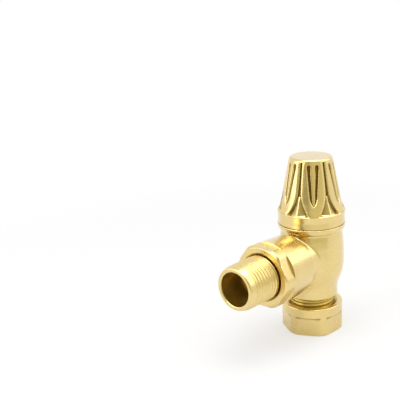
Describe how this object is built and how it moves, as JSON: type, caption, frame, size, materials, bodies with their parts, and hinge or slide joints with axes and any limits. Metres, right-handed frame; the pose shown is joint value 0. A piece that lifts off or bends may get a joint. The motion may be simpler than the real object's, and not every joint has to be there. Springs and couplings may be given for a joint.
{
  "type": "lockshield valve",
  "caption": "Angled brass radiator lockshield valve with a fluted pull-off cap, a union tail and a compression pipe inlet; its spindle sets the flow.",
  "frame": {"origin": "centre of the compression nut's lower face, where the pipe enters", "axes": "+Z along the spindle, away from the pipe; -Y along the radiator tail; +X to the right as seen from the tail's end"},
  "size_m": [0.0324, 0.0731, 0.0863],
  "materials": {
    "cast_brass": "satin polished, unlacquered",
    "cap_brass": "polished, dark in the flutes",
    "nut_brass": "polished, faintly turned",
    "tail_brass": "bright turned thread",
    "inner_brass": "plain machined",
    "spring_steel": "plain",
    "fibre": "matte",
    "packing": "matte",
    "seal_rubber": "matte",
    "nylon": "matte"
  },
  "bodies": {
    "body": {"valve_body": "cast_brass", "bonnet": "inner_brass", "bonnet_washer": "fibre", "spindle_o_ring": "seal_rubber", "gland_packing": "packing"},
    "olive_ring": {"olive": "inner_brass"},
    "inlet_nut": {"compression_nut": "nut_brass"},
    "tail": {"union_tail": "tail_brass", "tail_o_ring": "seal_rubber"},
    "tail_nut": {"union_nut": "nut_brass"},
    "follower": {"gland_follower": "inner_brass"},
    "gland": {"gland_nut": "inner_brass"},
    "disc": {"valve_disc": "inner_brass", "disc_washer": "seal_rubber", "disc_screw": "inner_brass", "swivel_clip": "spring_steel"},
    "stem": {"spindle": "inner_brass"},
    "cap_ring": {"cap_grip_ring": "seal_rubber"},
    "cap": {"lockshield_cap": "cap_brass", "cap_insert": "nylon"}
  },
  "joints": [
    {"name": "inlet_nut_turn", "type": "hinge", "parent": "olive_ring", "child": "inlet_nut", "pos_m": [0, 0, 0.007], "axis": [0, 0, -1], "range_deg": [0, 1440]},
    {"name": "inlet_nut_travel", "type": "slide", "parent": "body", "child": "olive_ring", "axis": [0, 0, -1], "range_m": [0, 0.0073]},
    {"name": "union_nut_turn", "type": "hinge", "parent": "tail", "child": "tail_nut", "pos_m": [0, -0.028, 0.0374], "axis": [0, -1, 0], "range_deg": [0, 2520]},
    {"name": "tail_travel", "type": "slide", "parent": "body", "child": "tail", "axis": [0, -1, 0], "range_m": [0, 0.0128]},
    {"name": "gland_nut_turn", "type": "hinge", "parent": "follower", "child": "gland", "pos_m": [0, 0, 0.07], "axis": [0, 0, 1], "range_deg": [0, 720]},
    {"name": "gland_nut_travel", "type": "slide", "parent": "body", "child": "follower", "axis": [0, 0, 1], "range_m": [0, 0.0021]},
    {"name": "spindle_turn", "type": "hinge", "parent": "disc", "child": "stem", "pos_m": [0, 0, 0.055], "axis": [0, 0, 1], "range_deg": [0, 1080]},
    {"name": "disc_lift", "type": "slide", "parent": "body", "child": "disc", "axis": [0, 0, 1], "range_m": [0, 0.0046]},
    {"name": "cap_pull", "type": "slide", "parent": "body", "child": "cap_ring", "axis": [0, 0, 1], "range_m": [0, 0.04]},
    {"name": "cap_turn", "type": "hinge", "parent": "cap_ring", "child": "cap", "pos_m": [0, 0, 0.0565], "axis": [0, 0, 1], "continuous": true}
  ],
  "couplings": [
    {"joint": "inlet_nut_travel", "follows": "inlet_nut_turn", "m_per_rad": 0.00028875},
    {"joint": "tail_travel", "follows": "union_nut_turn", "m_per_rad": 0.00028875},
    {"joint": "gland_nut_travel", "follows": "gland_nut_turn", "m_per_rad": 0.00015915},
    {"joint": "disc_lift", "follows": "spindle_turn", "m_per_rad": 0.00023873}
  ]
}
